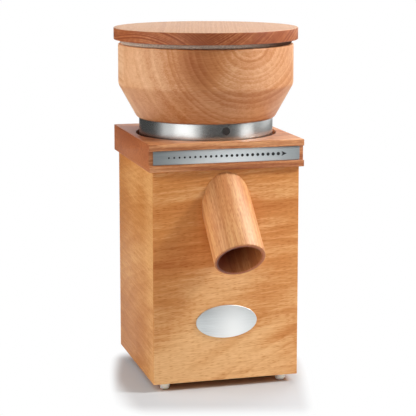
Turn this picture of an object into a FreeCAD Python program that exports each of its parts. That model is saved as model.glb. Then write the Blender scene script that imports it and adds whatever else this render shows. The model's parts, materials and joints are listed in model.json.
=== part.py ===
import FreeCAD, Part
import math
import os

Vector = FreeCAD.Vector

# Electric grain mill with millstones in a wooden case, in millimetres.
# Z points up, the front faces -Y, and the origin is the point on the table under the stones' axis.

# Millstones and how finely they can be set
stone_radius = 42.5
stone_height = 14.0
stone_clearance = 0.3
furrow_count = 12
furrow_width = 4.0
furrow_depth = 1.3
furrow_offset = 11.0
furrow_start = 17.0
breast_radius = 27.0
breast_depth = 2.5
lower_stone_bore = 9.0
upper_stone_eye = 13.0
thread_pitch = 3.0
setting_angle = 60.0

# Grinding chamber, a moulded pot with a threaded neck
sweep_gap = 7.5
chamber_wall = 6.0
chamber_floor = 8.0
chamber_depth = 40.0
neck_wall = 9.0
neck_height = 17.0
flange_reach = 18.0
flange_thickness = 5.0
window_width = 40.0
window_height = 26.0
chute_wall = 3.0
chute_back_wall = 2.0
chute_back_gap = 3.0

# Case of mitred panels
side_gap = 2.8
end_gap = 5.3
panel_thickness = 20.0
under_fan = 58.0
motor_air = 6.0
head_height = 28.7
head_overhang = 4.2
head_corner_radius = 1.2
well_depth = 18.7
well_gap = 3.6
foot_radius = 5.15
foot_height = 8.3
foot_rounding = 2.6
foot_side_inset = 15.0
foot_front_inset = 12.6
hole_play = 0.1

# Groove with the setting scale
groove_depth = 3.5
groove_height = 14.9
plate_thickness = 2.0
plate_side_gap = 0.3
plate_end_gap = 4.7

# Oval plaque on the front
plaque_width = 66.0
plaque_height = 35.0
plaque_thickness = 1.5
plaque_level = 63.5

# Spout, an oblique wooden tube
spout_tilt_deg = 42.8
spout_radius = 26.55
spout_bore = 22.5
spout_reach = 49.8
spout_top_gap = 3.1
spout_land = 60.0
spout_flare = 1.5

# Steel ring under the hopper
ring_height = 29.7
ring_exposed = 16.5
ring_thickness = 1.5
dot_radius = 4.25
dot_drop = 7.1
dot_thickness = 0.3
dot_turn_deg = 1.7

# Hopper, turned from solid wood
hopper_radius = 93.9
hopper_wall = 10.0
hopper_step = 2.0
cone_height = 36.3
wall_height = 42.6
throat_radius = 28.0
funnel_height = 40.0
funnel_floor = 4.8
spigot_depth = 6.2
spigot_play = 0.1
feed_wall = 6.0
feed_depth = 17.0
feed_play = 0.05

# Finger guard in the hopper
guard_play = 0.4
guard_lift = 5.0
guard_thickness = 2.0
guard_rim = 5.0
guard_bar = 5.0
guard_eye = 7.0

# Holder of the upper stone
holder_eye = 17.0
holder_web = 6.2
dish_wall = 5.0
dish_play = 1.0
thread_gap = 0.3
skirt_wall = 10.6
holder_top = 5.0
rise_play = 0.5
ring_play = 0.5
key_width = 8.0
key_thickness = 5.0
key_depth = 10.0
key_play = 0.3
key_count = 3

# Lid
lid_overhang = 4.6
lid_thickness = 12.6
lid_chamfer = 1.6
lid_spigot_depth = 6.0
lid_spigot_play = 1.0
seal_height = 4.8
seal_width = 6.0
seal_inset = 1.9

# Turning parts that carry the lower stone
sweeper_lift = 0.8
sweeper_thickness = 2.6
sweeper_arm = 9.0
sweeper_arms = 3
sweeper_play = 0.8
fin_thickness = 4.6
fin_height = 15.0
sweeper_hub_wall = 4.0
carrier_inset = 2.5
carrier_thickness = 9.6
carrier_hub = 12.0
carrier_web = 2.0

# Motor
shaft_radius = 6.0
shaft_play = 0.05
bell_taper = 3.5
bell_height = 24.0
bell_skirt = 8.0
bell_roof = 7.0
bell_wall = 5.0
bell_hole = 8.0
bell_vents = 6
vent_width = 9.0
bearing_radius = 16.0
bearing_width = 10.0
bearing_wall = 4.0
bearing_play = 0.05
stator_stack = 48.0
air_gap = 0.5
rotor_radius = 26.0
rotor_overlap = 1.0
slot_count = 12
tooth_tip = 2.0
slot_width = 6.0
slot_mouth = 2.0
slot_depth = 11.0
back_iron = 10.5
slot_lining = 0.5
winding_height = 10.0
bolt_inset = 2.5
bolt_count = 2
bolt_turn_deg = 45.0
bolt_radius = 2.0
bolt_play = 0.15
bolt_grip = 6.0
bolt_head_radius = 3.8
bolt_head_height = 3.2
seal_radius = 11.0
seal_thickness = 7.0
fan_gap = 4.0
fan_radius = 36.0
fan_hub = 10.0
fan_disc = 1.6
fan_height = 14.0
fan_blades = 9
blade_thickness = 1.6
blade_inset = 1.0
shaft_tail = 2.0

# Base board and corner blocks
base_thickness = 12.0
base_recess = 3.0
base_play = 0.3
block_side = 14.0
block_height = 50.0
vent_slot_count = 7
vent_slot_width = 4.0
vent_slot_length = 46.0
vent_slot_pitch = 10.0

# Screw in the end of the shaft
screw_play = 0.15
centre_screw_radius = 3.0
centre_screw_length = 16.0
centre_screw_head_radius = 6.5
centre_screw_head_height = 4.0

# Electrical parts
capacitor_radius = 15.0
capacitor_length = 66.0
capacitor_inset = 27.3
clip_thickness = 1.4
clip_width = 12.0
clip_foot = 9.0
clip_play = 0.2
terminal_width = 34.0
terminal_height = 14.0
terminal_depth = 12.0
terminal_gap = 5.8
terminal_rise = 43.0
terminal_ways = 3
terminal_hole = 2.0
switch_rise = 155.0
bezel_width = 22.0
bezel_height = 30.0
bezel_thickness = 2.0
bezel_corner = 2.5
switch_body_width = 19.0
switch_body_height = 27.0
switch_body_depth = 24.0
switch_play = 0.2
rocker_width = 13.4
rocker_radius = 10.6
rocker_side_gap = 0.4
rocker_pivot_depth = 3.0
rocker_well = 10.0
rocker_nose = 3.2
rocker_back = 4.0
rocker_tilt_deg = 10.0
axle_radius = 1.5
axle_play = 0.08
gland_from_block = 20.8
gland_rise = 37.0
gland_radius = 8.0
gland_play = 0.15
gland_bore = 3.6
gland_head = 11.0
gland_head_length = 9.0
gland_cap_length = 7.0
gland_cap_radius = 9.2
gland_cap_chamfer = 1.6
gland_stub = 9.0
nut_thickness = 5.0
nut_radius = 11.5

# How far a cut runs past the face that it opens
overrun = 1.0


# Sizes and levels worked out from the values above
spout_tilt = math.radians(spout_tilt_deg)
rocker_tilt = math.radians(rocker_tilt_deg)
thread_rise = thread_pitch * setting_angle / 360
stone_gap = thread_rise + stone_clearance
holder_lift = thread_rise + rise_play
chamber_radius = stone_radius + sweep_gap
pot_radius = chamber_radius + chamber_wall
neck_radius = chamber_radius + neck_wall
flange_radius = pot_radius + flange_reach

stator_bore = rotor_radius + air_gap
slot_start = stator_bore + tooth_tip
slot_end = slot_start + slot_depth
bolt_circle = slot_end + bolt_inset
bell_radius = slot_end + back_iron
bell_top_radius = bell_radius - bell_taper

# The case is as wide as the wider of the chamber and the motor with the air around it
core_radius = max(pot_radius, bell_radius + motor_air)
inner_width = 2 * (core_radius + side_gap)
inner_depth = 2 * (core_radius + end_gap)
chute_reach = inner_depth / 2 - pot_radius
body_width = inner_width + 2 * panel_thickness
body_depth = inner_depth + 2 * panel_thickness
head_width = body_width + 2 * head_overhang
head_depth = body_depth + 2 * head_overhang

# The panels are as high as what stands between the base board and the head
motor_height = 2 * bell_height + stator_stack
fan_space = under_fan + fan_height + fan_gap
chamber_under_head = chamber_depth + chamber_floor - (head_height - well_depth)
panel_height = base_recess + base_thickness + fan_space + motor_height + chamber_under_head

body_bottom = foot_height
head_bottom = body_bottom + panel_height
head_top = head_bottom + head_height
well_floor = head_top - well_depth
flange_top = well_floor + flange_thickness
floor_top = well_floor - chamber_depth
chamber_bottom = floor_top - chamber_floor
neck_top = flange_top + neck_height

skirt_inner = neck_radius + thread_gap
skirt_outer = skirt_inner + skirt_wall
ring_inner = skirt_outer + ring_play
ring_outer = ring_inner + ring_thickness
well_radius = ring_outer + well_gap
ring_top = head_top + ring_exposed
ring_bottom = ring_top - ring_height

carrier_bottom = floor_top + sweeper_lift + sweeper_thickness
carrier_top = carrier_bottom + carrier_thickness
lower_stone_top = carrier_top + stone_height
upper_stone_bottom = lower_stone_top + stone_gap
upper_stone_top = upper_stone_bottom + stone_height
holder_floor = upper_stone_top + holder_web
holder_under = neck_top + holder_lift
holder_over = holder_under + holder_top
spigot_bottom = ring_top - spigot_depth
spigot_radius = ring_inner - spigot_play

cone_low_radius = ring_outer + hopper_step
wall_foot = ring_top + cone_height
rim_top = wall_foot + wall_height
bowl_radius = hopper_radius - hopper_wall
funnel_low = ring_top + funnel_floor
funnel_high = funnel_low + funnel_height
feed_bottom = spigot_bottom - feed_depth
feed_radius = throat_radius + feed_wall
funnel_slope = (bowl_radius - throat_radius) / funnel_height
lid_bottom = rim_top + seal_height
lid_radius = hopper_radius + lid_overhang
lid_top = lid_bottom + lid_thickness

stator_top = chamber_bottom - bell_height
stator_bottom = stator_top - stator_stack
motor_bottom = stator_bottom - bell_height
fan_top = motor_bottom - fan_gap
fan_bottom = fan_top - fan_height
shaft_bottom = fan_bottom - shaft_tail
shaft_top = carrier_top - carrier_web

base_bottom = body_bottom + base_recess
base_top = base_bottom + base_thickness
front_face = -body_depth / 2
front_inside = -inner_depth / 2
back_face = body_depth / 2
back_inside = inner_depth / 2
terminal_level = body_bottom + terminal_rise
switch_level = body_bottom + switch_rise
gland_level = body_bottom + gland_rise
terminal_left = -inner_width / 2 + block_side + terminal_gap
gland_offset = inner_width / 2 - block_side - gland_from_block

# The spout's axis, from the middle of its mouth up into the case
spout_axis = Vector(0, math.cos(spout_tilt), math.sin(spout_tilt))
spout_entry = head_bottom - spout_top_gap - spout_radius / math.cos(spout_tilt)
mouth_level = spout_entry - spout_reach * math.tan(spout_tilt)
mouth_centre = Vector(0, front_face - spout_reach, mouth_level)
spout_run = (spout_reach + panel_thickness + 2 * spout_radius) / math.cos(spout_tilt)


def block(width, depth, height, corner):
    """A box from its lowest corner."""
    return Part.makeBox(width, depth, height, corner)


def centred_block(width, depth, low, high, x=0, y=0):
    """A box centred on a vertical line, between two levels."""
    return block(width, depth, high - low, Vector(x - width / 2, y - depth / 2, low))


def rod(radius, low, high, x=0, y=0):
    """An upright cylinder between two levels."""
    return Part.makeCylinder(radius, high - low, Vector(x, y, low), Vector(0, 0, 1))


def tube(outer, inner, low, high):
    """An upright tube between two levels."""
    return rod(outer, low, high).cut(rod(inner, low - overrun, high + overrun))


def along_spout(radius, start, length):
    """A cylinder on the spout's axis, measured from the mouth."""
    return Part.makeCylinder(radius, length, mouth_centre + spout_axis * start, spout_axis)


def outline(points):
    """A closed wire through points."""
    edges = [Part.LineSegment(points[i - 1], points[i]).toShape() for i in range(len(points))]
    return Part.Wire(edges)


def turned(profile):
    """A solid turned about the stones' axis from (radius, level) pairs."""
    face = Part.Face(outline([Vector(radius, 0, level) for radius, level in profile]))
    return face.revolve(Vector(0, 0, 0), Vector(0, 0, 1), 360)


def around(solid, count, start_deg=0):
    """Copies of a solid, evenly turned about the stones' axis."""
    copies = []
    for i in range(count):
        copy = solid.copy()
        copy.rotate(Vector(0, 0, 0), Vector(0, 0, 1), start_deg + 360 * i / count)
        copies.append(copy)
    return copies


def mirrored(solid, about_level):
    """A solid mirrored in a level plane."""
    return solid.mirror(Vector(0, 0, about_level), Vector(0, 0, 1))


def four_corners(x, y):
    """The four places at plus and minus x and y."""
    return [(sx * x, sy * y) for sx in (-1, 1) for sy in (-1, 1)]


def group(solids):
    """Several separate solids in one node."""
    return Part.makeCompound(solids)


def save(name, shape):
    """Write one node to its own file."""
    shape.exportStep("parts/" + name + ".step")


def panel(outer, inner, across):
    """A mitred panel between its outer and inner corner lines."""
    points = [Vector(x, y, body_bottom) for x, y in (outer[0], outer[1], inner[1], inner[0])]
    prism = Part.Face(outline(points)).extrude(Vector(0, 0, panel_height))
    return prism.cut(across) if across else prism


def make_panels():
    """Left, right, front and back panels, mitred at the corners."""
    x, y = body_width / 2, body_depth / 2
    u, v = inner_width / 2, inner_depth / 2
    spout_hole = along_spout(spout_radius + hole_play, 0, spout_run)
    gland_hole = Part.makeCylinder(
        gland_radius + gland_play,
        panel_thickness + 2 * overrun,
        Vector(gland_offset, back_inside - overrun, gland_level),
        Vector(0, 1, 0),
    )
    switch_hole = block(
        switch_body_width + 2 * switch_play,
        panel_thickness + 2 * overrun,
        switch_body_height + 2 * switch_play,
        Vector(
            -switch_body_width / 2 - switch_play,
            back_inside - overrun,
            switch_level - switch_body_height / 2 - switch_play,
        ),
    )
    save("left_panel", panel(((-x, -y), (-x, y)), ((-u, -v), (-u, v)), []))
    save("right_panel", panel(((x, -y), (x, y)), ((u, -v), (u, v)), []))
    save("front_panel", panel(((-x, -y), (x, -y)), ((-u, -v), (u, -v)), [spout_hole]))
    save("back_panel", panel(((-x, y), (x, y)), ((-u, v), (u, v)), [gland_hole, switch_hole]))


def make_head():
    """The head slab, with the well for the ring, the chamber's hole and the scale's groove."""
    slab = centred_block(head_width, head_depth, head_bottom, head_top)
    upright = [e for e in slab.Edges if abs(e.tangentAt(e.FirstParameter).z) > 0.5]
    slab = slab.makeFillet(head_corner_radius, upright)
    well = rod(well_radius, well_floor, head_top + overrun)
    hole = rod(pot_radius + hole_play, head_bottom - overrun, head_top)
    middle = (head_bottom + head_top) / 2
    groove = block(
        head_width + 2 * overrun,
        groove_depth + overrun,
        groove_height,
        Vector(-head_width / 2 - overrun, -head_depth / 2 - overrun, middle - groove_height / 2),
    )
    save("head_slab", slab.cut([well, hole, groove]))


def make_scale_plate():
    """The scale's steel plate at the bottom of the groove."""
    width = head_width - 2 * plate_end_gap
    height = groove_height - 2 * plate_side_gap
    middle = (head_bottom + head_top) / 2
    back = -head_depth / 2 + groove_depth
    corner = Vector(-width / 2, back - plate_thickness, middle - height / 2)
    save("scale_plate", block(width, plate_thickness, height, corner))


def make_plaque():
    """The oval plaque on the front panel."""
    centre = Vector(0, front_face, body_bottom + plaque_level)
    oval = Part.Ellipse(Vector(0, 0, 0), plaque_width / 2, plaque_height / 2).toShape()
    face = Part.Face(Part.Wire([oval]))
    face.rotate(Vector(0, 0, 0), Vector(1, 0, 0), 90)
    face.translate(centre)
    save("oval_plaque", face.extrude(Vector(0, -plaque_thickness, 0)))


def make_spout():
    """The spout, sawn off flush inside the front panel and under the head."""
    stick = along_spout(spout_radius, 0, spout_run)
    bore = along_spout(spout_bore, -overrun, spout_land + overrun)
    start = mouth_centre + spout_axis * spout_land
    wide = spout_bore + spout_flare
    flare = Part.makeCone(spout_bore, wide, spout_run - spout_land + overrun, start, spout_axis)
    keep = block(
        2 * spout_run,
        2 * spout_run,
        2 * spout_run,
        Vector(-spout_run, front_inside - 2 * spout_run, head_bottom - 2 * spout_run),
    )
    save("spout_tube", stick.cut([bore, flare]).common(keep))


def make_feet():
    """Four glides with rounded tips under the panels."""
    x, y = body_width / 2 - foot_side_inset, body_depth / 2 - foot_front_inset
    glide = Part.makeCylinder(foot_radius, foot_height)
    tip = min(glide.Edges, key=lambda edge: edge.BoundBox.ZMax)
    glide = glide.makeFillet(foot_rounding, [tip])
    save("feet", group([glide.translated(Vector(a, b, 0)) for a, b in four_corners(x, y)]))


def make_chamber():
    """The grinding chamber: pot, flange, threaded neck and the chute to the spout."""
    profile = [
        (bell_hole, chamber_bottom),
        (pot_radius, chamber_bottom),
        (pot_radius, well_floor),
        (flange_radius, well_floor),
        (flange_radius, flange_top),
        (neck_radius, flange_top),
        (neck_radius, neck_top),
        (chamber_radius, neck_top),
        (chamber_radius, floor_top),
        (seal_radius, floor_top),
        (seal_radius, floor_top - seal_thickness),
        (bell_hole, floor_top - seal_thickness),
    ]
    pot = turned(profile)
    low = chamber_bottom - 2 * spout_radius
    left = Vector(-inner_width / 2, front_inside, low)
    depth = chute_reach + chamber_wall - overrun
    high = head_bottom - chute_back_gap / 2
    chute = along_spout(spout_bore + spout_flare + chute_wall, 0, 2 * spout_run)
    chute = chute.common(block(inner_width, depth, high - low, left))
    chute = chute.cut(rod(pot_radius - chute_back_wall, floor_top, head_top))
    chute = chute.cut(rod(bell_radius + chute_back_gap, low, chamber_bottom))
    bore = along_spout(spout_bore + spout_flare, 0, 2 * spout_run)
    room = block(inner_width, chute_reach + chute_back_gap, high - chute_wall - low, left)
    window = block(
        window_width,
        chamber_wall + chute_reach,
        window_height,
        Vector(-window_width / 2, -pot_radius - chute_reach / 2, floor_top),
    )
    grip = chamber_bottom + bolt_grip + bolt_play
    bolts = bolt_rods(bolt_radius + bolt_play, chamber_bottom - overrun, grip)
    shape = pot.fuse(chute).cut([bore.common(room), window] + bolts)
    save("grinding_chamber", shape.removeSplitter())
    seal = tube(seal_radius - shaft_play, shaft_radius + shaft_play, floor_top - seal_thickness, floor_top)
    save("shaft_seal", seal)


def bolt_rods(radius, low, high):
    """Upright rods where the motor's through bolts stand."""
    return around(rod(radius, low, high, bolt_circle), bolt_count, bolt_turn_deg)


def end_bell():
    """The motor's upper end bell, with its bearing seat and air slots."""
    roof = chamber_bottom - bell_roof
    seat_low = roof - bearing_width + shaft_play
    boss = bearing_radius + bearing_wall
    inside = bell_radius - bell_wall
    profile = [
        (bell_hole, chamber_bottom),
        (bell_top_radius, chamber_bottom),
        (bell_radius, stator_top + bell_skirt),
        (bell_radius, stator_top),
        (inside, stator_top),
        (inside, roof),
        (boss, roof),
        (boss, seat_low),
        (bearing_radius + bearing_play, seat_low),
        (bearing_radius + bearing_play, roof),
        (bell_hole, roof),
    ]
    shape = turned(profile)
    vent = block(
        bell_wall + 2 * overrun,
        vent_width,
        bell_height - bell_roof - bell_skirt,
        Vector(inside - overrun, -vent_width / 2, stator_top + bell_skirt / 2),
    )
    bolts = bolt_rods(bolt_radius + bolt_play, stator_top - overrun, chamber_bottom + overrun)
    return shape.cut(around(vent, bell_vents) + bolts)


def bearing():
    """The motor's upper ball bearing, shielded on both sides."""
    high = chamber_bottom - bell_roof
    return tube(bearing_radius, shaft_radius + bearing_play, high - bearing_width, high)


def make_motor():
    """End bells, bearings, slotted stator, windings and through bolts."""
    middle = (stator_top + stator_bottom) / 2
    save("upper_end_bell", end_bell())
    save("lower_end_bell", mirrored(end_bell(), middle))
    save("upper_bearing", bearing())
    save("lower_bearing", mirrored(bearing(), middle))

    slot = block(
        slot_depth,
        slot_width,
        stator_stack + 2 * overrun,
        Vector(slot_start, -slot_width / 2, stator_bottom - overrun),
    )
    mouth = block(
        slot_start - stator_bore + 2 * overrun,
        slot_mouth,
        stator_stack + 2 * overrun,
        Vector(stator_bore - overrun, -slot_mouth / 2, stator_bottom - overrun),
    )
    bolts = bolt_rods(bolt_radius + bolt_play, stator_bottom - overrun, stator_top + overrun)
    core = tube(bell_radius, stator_bore, stator_bottom, stator_top)
    half_slot = 180 / slot_count
    slots = around(slot, slot_count, half_slot) + around(mouth, slot_count, half_slot)
    save("stator_core", core.cut(slots + bolts))

    low = slot_start + slot_lining
    high = slot_end - slot_lining
    bar = block(
        high - low - slot_lining,
        slot_width - 2 * slot_lining,
        stator_stack + 2 * overrun,
        Vector(low, -slot_width / 2 + slot_lining, stator_bottom - overrun),
    )
    foot = stator_top + slot_lining
    tip = foot + winding_height
    upper = tube(high, low, foot, tip)
    windings = upper.fuse([mirrored(upper, middle)] + around(bar, slot_count, half_slot))
    save("motor_windings", windings.removeSplitter())

    shanks = bolt_rods(bolt_radius, motor_bottom, chamber_bottom + bolt_grip)
    heads = bolt_rods(bolt_head_radius, motor_bottom - bolt_head_height, motor_bottom)
    save("motor_bolts", group([shank.fuse(head) for shank, head in zip(shanks, heads)]))


def make_rotor():
    """Shaft, rotor core, cooling fan and what carries the lower stone."""
    tapped = centre_screw_radius + screw_play
    shaft = rod(shaft_radius, shaft_bottom, shaft_top)
    shaft = shaft.cut(rod(tapped, carrier_top - centre_screw_length - overrun, shaft_top + overrun))
    save("motor_shaft", shaft)
    core = tube(
        rotor_radius, shaft_radius + shaft_play, stator_bottom - rotor_overlap, stator_top + rotor_overlap
    )
    save("rotor_core", core)

    hub = rod(fan_hub, fan_bottom, fan_top)
    disc = rod(fan_radius, fan_top - fan_disc, fan_top)
    blade = block(
        fan_radius - blade_inset,
        blade_thickness,
        fan_height - fan_disc / 2,
        Vector(0, -blade_thickness / 2, fan_bottom),
    )
    fan = hub.fuse([disc] + around(blade, fan_blades)).removeSplitter()
    save("cooling_fan", fan.cut(rod(shaft_radius + shaft_play, fan_bottom - overrun, fan_top + overrun)))

    sweeper_low = floor_top + sweeper_lift
    sweeper_high = sweeper_low + sweeper_thickness
    reach = chamber_radius - sweeper_play
    arm = block(reach, sweeper_arm, sweeper_thickness, Vector(0, -sweeper_arm / 2, sweeper_low))
    fin = tube(reach, reach - fin_thickness, sweeper_low, sweeper_low + fin_height)
    fin = fin.common(block(reach, sweeper_arm, fin_height, Vector(0, -sweeper_arm / 2, sweeper_low)))
    arm = arm.common(rod(reach, sweeper_low, sweeper_high)).fuse(fin)
    sweeper = rod(carrier_hub + sweeper_hub_wall, sweeper_low, sweeper_high).fuse(around(arm, sweeper_arms))
    sweeper = sweeper.cut(rod(carrier_hub + shaft_play, sweeper_low - overrun, sweeper_high + overrun))
    save("flour_sweeper", sweeper.removeSplitter())

    disc_radius = stone_radius - carrier_inset
    profile = [
        (shaft_radius + shaft_play, sweeper_low),
        (carrier_hub, sweeper_low),
        (carrier_hub, carrier_bottom),
        (disc_radius, carrier_bottom),
        (disc_radius, carrier_top),
        (tapped, carrier_top),
        (tapped, shaft_top),
        (shaft_radius + shaft_play, shaft_top),
    ]
    save("stone_carrier", turned(profile))
    screw = rod(centre_screw_radius, carrier_top - centre_screw_length, carrier_top)
    cap = rod(centre_screw_head_radius, carrier_top, carrier_top + centre_screw_head_height)
    save("centre_screw", screw.fuse(cap))


def furrows():
    """One dressing of slanted furrows, cut into a face at level zero and opening upwards."""
    reach = stone_radius + overrun
    section = [
        Vector(furrow_start, furrow_offset, overrun),
        Vector(furrow_start, furrow_offset, -furrow_depth),
        Vector(furrow_start, furrow_offset + furrow_width, 0),
        Vector(furrow_start, furrow_offset + furrow_width, overrun),
    ]
    furrow = Part.Face(outline(section)).extrude(Vector(reach, 0, 0))
    return around(furrow, furrow_count)


def lower_stone():
    """The turning stone, dished towards its middle and dressed on top, with its face at level zero."""
    profile = [
        (lower_stone_bore, -stone_height),
        (stone_radius, -stone_height),
        (stone_radius, 0),
        (breast_radius, 0),
        (lower_stone_bore, -breast_depth),
    ]
    return turned(profile).cut(furrows())


def upper_stone():
    """The standing stone, with the eye that the grain falls through, its face at level zero."""
    profile = [
        (upper_stone_eye, -stone_height),
        (stone_radius, -stone_height),
        (stone_radius, 0),
        (breast_radius, 0),
        (upper_stone_eye, -breast_depth),
    ]
    return turned(profile).cut(furrows())


def make_stones():
    """Both millstones at their levels, faces towards each other."""
    lower = lower_stone()
    lower.translate(Vector(0, 0, lower_stone_top))
    save("lower_stone", lower)
    upper = upper_stone()
    upper.rotate(Vector(0, 0, 0), Vector(1, 0, 0), 180)
    upper.translate(Vector(0, 0, upper_stone_bottom))
    save("upper_stone", upper)


def make_holder():
    """The threaded holder of the upper stone, which the hopper turns through three keys."""
    dish = chamber_radius - dish_play
    profile = [
        (holder_eye, upper_stone_top),
        (dish, upper_stone_top),
        (dish, holder_under),
        (skirt_inner, holder_under),
        (skirt_inner, flange_top + holder_lift * 2),
        (skirt_outer, flange_top + holder_lift * 2),
        (skirt_outer, holder_over),
        (dish - dish_wall, holder_over),
        (dish - dish_wall, holder_floor),
        (holder_eye, holder_floor),
    ]
    circle = (skirt_inner + skirt_outer) / 2
    wide, thick = key_width + 2 * key_play, key_thickness + 2 * key_play
    slots = drive_keys(thick, wide, key_depth + 2 * holder_lift, circle)
    save("upper_stone_holder", turned(profile).cut(slots))
    save("drive_keys", group(drive_keys(key_thickness, key_width, key_depth, circle)))


def drive_keys(thickness, width, depth, circle):
    """Upright keys on a circle, hanging down from under the hopper."""
    corner = Vector(circle - thickness / 2, -width / 2, spigot_bottom - depth)
    return around(block(thickness, width, depth, corner), key_count)


def make_ring():
    """The steel ring under the hopper and the black dot that points to the scale."""
    save("steel_ring", tube(ring_outer, ring_inner, ring_bottom, ring_top))
    level = ring_top - dot_drop
    turn = math.radians(dot_turn_deg)
    facing = Vector(math.sin(turn), -math.cos(turn), 0)
    pin = Part.makeCylinder(dot_radius, ring_outer + overrun, Vector(0, 0, level), facing)
    skin = tube(ring_outer + dot_thickness, ring_outer, level - 2 * dot_radius, level + 2 * dot_radius)
    save("setting_dot", pin.common(skin))


def funnel_level(radius):
    """The level of the funnel's slope at a radius."""
    return funnel_low + (radius - throat_radius) / funnel_slope


def make_hopper():
    """The hopper with its funnel, the tube that feeds the holder, and the finger guard."""
    hole_radius = feed_radius + feed_play
    profile = [
        (hole_radius, spigot_bottom),
        (spigot_radius, spigot_bottom),
        (spigot_radius, ring_top),
        (cone_low_radius, ring_top),
        (hopper_radius, wall_foot),
        (hopper_radius, rim_top),
        (bowl_radius, rim_top),
        (bowl_radius, funnel_high),
        (hole_radius, funnel_level(hole_radius)),
    ]
    save("hopper_bowl", turned(profile))
    feed = [
        (throat_radius, feed_bottom),
        (feed_radius, feed_bottom),
        (feed_radius, funnel_level(feed_radius)),
        (throat_radius, funnel_low),
    ]
    save("feed_tube", turned(feed))

    low = funnel_low + guard_lift
    high = low + guard_thickness
    outer = throat_radius + guard_lift * funnel_slope - guard_play
    rim = tube(outer, outer - guard_rim, low, high)
    bar = centred_block(2 * outer - guard_rim, guard_bar, low, high)
    cross = centred_block(guard_bar, 2 * outer - guard_rim, low, high)
    guard = rim.fuse([bar, cross, rod(guard_eye, low, high)])
    save("finger_guard", guard.removeSplitter())


def make_lid():
    """The lid disc, the spigot that centres it in the hopper, and the seal that it rests on."""
    disc = [
        (0, lid_bottom),
        (lid_radius - lid_chamfer, lid_bottom),
        (lid_radius, lid_bottom + lid_chamfer),
        (lid_radius, lid_top - lid_chamfer),
        (lid_radius - lid_chamfer, lid_top),
        (0, lid_top),
    ]
    save("lid_disc", turned(disc))
    spigot = rod(bowl_radius - lid_spigot_play, rim_top - lid_spigot_depth, lid_bottom)
    save("lid_spigot", spigot)
    outer = hopper_radius - seal_inset
    save("lid_seal", tube(outer, outer - seal_width, rim_top, lid_bottom))


def make_base():
    """Base board with air slots, and the corner blocks that it is screwed to."""
    width = inner_width - 2 * base_play
    depth = inner_depth - 2 * base_play
    board = centred_block(width, depth, base_bottom, base_top)
    first = -(vent_slot_count - 1) * vent_slot_pitch / 2
    slots = []
    for i in range(vent_slot_count):
        x = first + i * vent_slot_pitch
        slots.append(
            centred_block(
                vent_slot_width, vent_slot_length, base_bottom - overrun, base_top + overrun,
                x, vent_slot_length / 2,
            )
        )
    places = four_corners((inner_width - block_side) / 2, (inner_depth - block_side) / 2)
    high = base_top + block_height
    blocks = [centred_block(block_side, block_side, base_top, high, x, y) for x, y in places]
    save("base_board", board.cut(slots))
    save("corner_blocks", group(blocks))


def make_capacitor():
    """The motor's capacitor, lying on the base board under its clip."""
    y = front_inside + capacitor_inset
    z = base_top + capacitor_radius
    x = -capacitor_length / 2
    can = Part.makeCylinder(capacitor_radius, capacitor_length, Vector(x, y, z), Vector(1, 0, 0))
    save("capacitor", can)
    inside = capacitor_radius + clip_play
    outside = inside + clip_thickness
    left = -clip_width / 2
    arch = Part.makeCylinder(outside, clip_width, Vector(left, y, z), Vector(1, 0, 0))
    legs = block(clip_width, 2 * outside, capacitor_radius, Vector(left, y - outside, base_top))
    span = outside + clip_foot
    feet = block(clip_width, 2 * span, clip_thickness, Vector(left, y - span, base_top))
    hollow = Part.makeCylinder(
        inside, clip_width + 2 * overrun, Vector(left - overrun, y, z), Vector(1, 0, 0)
    )
    under = block(
        clip_width + 2 * overrun,
        2 * inside,
        capacitor_radius + overrun,
        Vector(left - overrun, y - inside, base_top - overrun),
    )
    upper = block(clip_width, 2 * outside, 2 * outside, Vector(left, y - outside, z))
    strap = arch.common(upper).fuse([legs, feet]).cut([hollow, under])
    save("capacitor_clip", strap.removeSplitter())


def make_terminals():
    """The terminal block on the inside of the back panel."""
    corner = Vector(terminal_left, back_inside - terminal_depth, terminal_level - terminal_height / 2)
    body = block(terminal_width, terminal_depth, terminal_height, corner)
    holes = []
    pitch = terminal_width / terminal_ways
    for i in range(terminal_ways):
        x = corner.x + pitch / 2 + pitch * i
        screw = Vector(x, back_inside - terminal_depth - overrun, terminal_level)
        holes.append(Part.makeCylinder(terminal_hole, terminal_depth / 2, screw, Vector(0, 1, 0)))
    save("terminal_block", body.cut(holes))


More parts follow.
